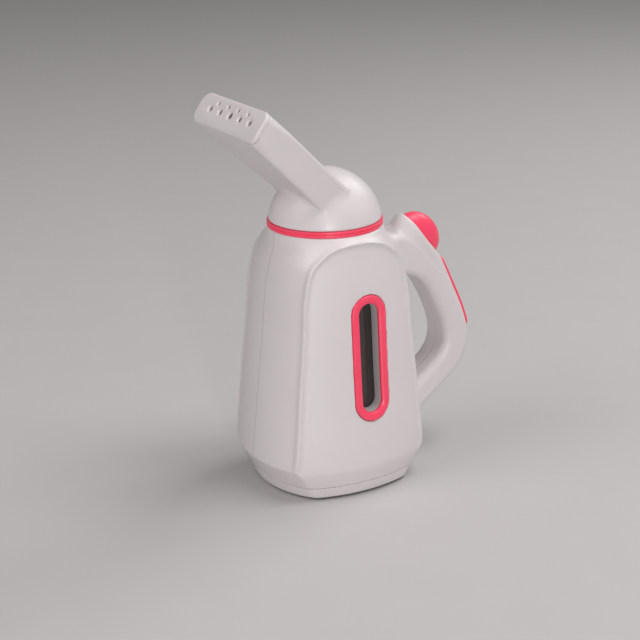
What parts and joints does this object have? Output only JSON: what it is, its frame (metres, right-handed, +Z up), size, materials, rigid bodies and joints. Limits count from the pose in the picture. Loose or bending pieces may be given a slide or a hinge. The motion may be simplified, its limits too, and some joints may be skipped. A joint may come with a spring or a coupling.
{
  "type": "handheld garment steamer",
  "caption": "Compact handheld garment steamer with a jug-shaped tank body, bent handle, thumb button and a twist-off domed head with a wide fan nozzle.",
  "frame": {"origin": "on the surface it stands on, in the middle of its footprint box", "axes": "+Z up, -Y towards the steam outlet, +Y towards the handle, +X towards the side whose window the main view shows"},
  "size_m": [0.0968, 0.1652, 0.2376],
  "materials": {
    "shell_white": "satin",
    "accent_coral": "satin",
    "clear_plastic": "clear",
    "well_grey": "satin",
    "tank_clear": "clear",
    "steel": "brushed",
    "zinc_screw": "zinc plated",
    "heater_sheath": "heat dulled",
    "silicone": "matte",
    "black_rubber": "matte",
    "black_plastic": "matte",
    "terminal_white": "matte"
  },
  "bodies": {
    "body": {"housing_right": "shell_white", "housing_left": "shell_white", "housing_screws": "zinc_screw", "handle_strip": "accent_coral", "neck_ring": "accent_coral", "window_bezel_right": "accent_coral", "window_bezel_left": "accent_coral", "window_well_right": "well_grey", "window_well_left": "well_grey", "window_pane_right": "clear_plastic", "window_pane_left": "clear_plastic", "micro_switch": "black_plastic", "water_tank": "tank_clear", "heater_gasket": "silicone", "heater_plate": "steel", "heating_element": "heater_sheath", "heater_screws": "zinc_screw", "thermostat": "steel", "thermal_fuse": "terminal_white", "terminal_block": "terminal_white", "cord_clamp": "black_plastic", "clamp_screws": "zinc_screw", "cord_gland": "black_rubber", "base_cover": "shell_white", "base_screws": "zinc_screw", "rubber_feet": "black_rubber"},
    "button": {"power_button": "accent_coral"},
    "plunger": {"switch_plunger": "accent_coral"},
    "head": {"head_shell": "shell_white", "steam_plate": "shell_white", "steam_baffle": "shell_white", "head_seal": "silicone"}
  },
  "joints": [
    {"name": "button_press", "type": "slide", "parent": "body", "child": "button", "axis": [0, -0.7349, -0.6782], "range_m": [0, 0.0025], "stiffness_N_per_m": 900, "springref_m": -0.0006},
    {"name": "plunger_press", "type": "slide", "parent": "body", "child": "plunger", "axis": [0, -0.7349, -0.6782], "range_m": [0, 0.0025], "stiffness_N_per_m": 60, "springref_m": -0.0006},
    {"name": "head_turn", "type": "hinge", "parent": "body", "child": "head", "pos_m": [0, -0.0159, 0.165], "axis": [0, 0, 1], "range_deg": [0, 40]}
  ],
  "couplings": [
    {"joint": "plunger_press", "follows": "button_press", "ratio": 1}
  ]
}
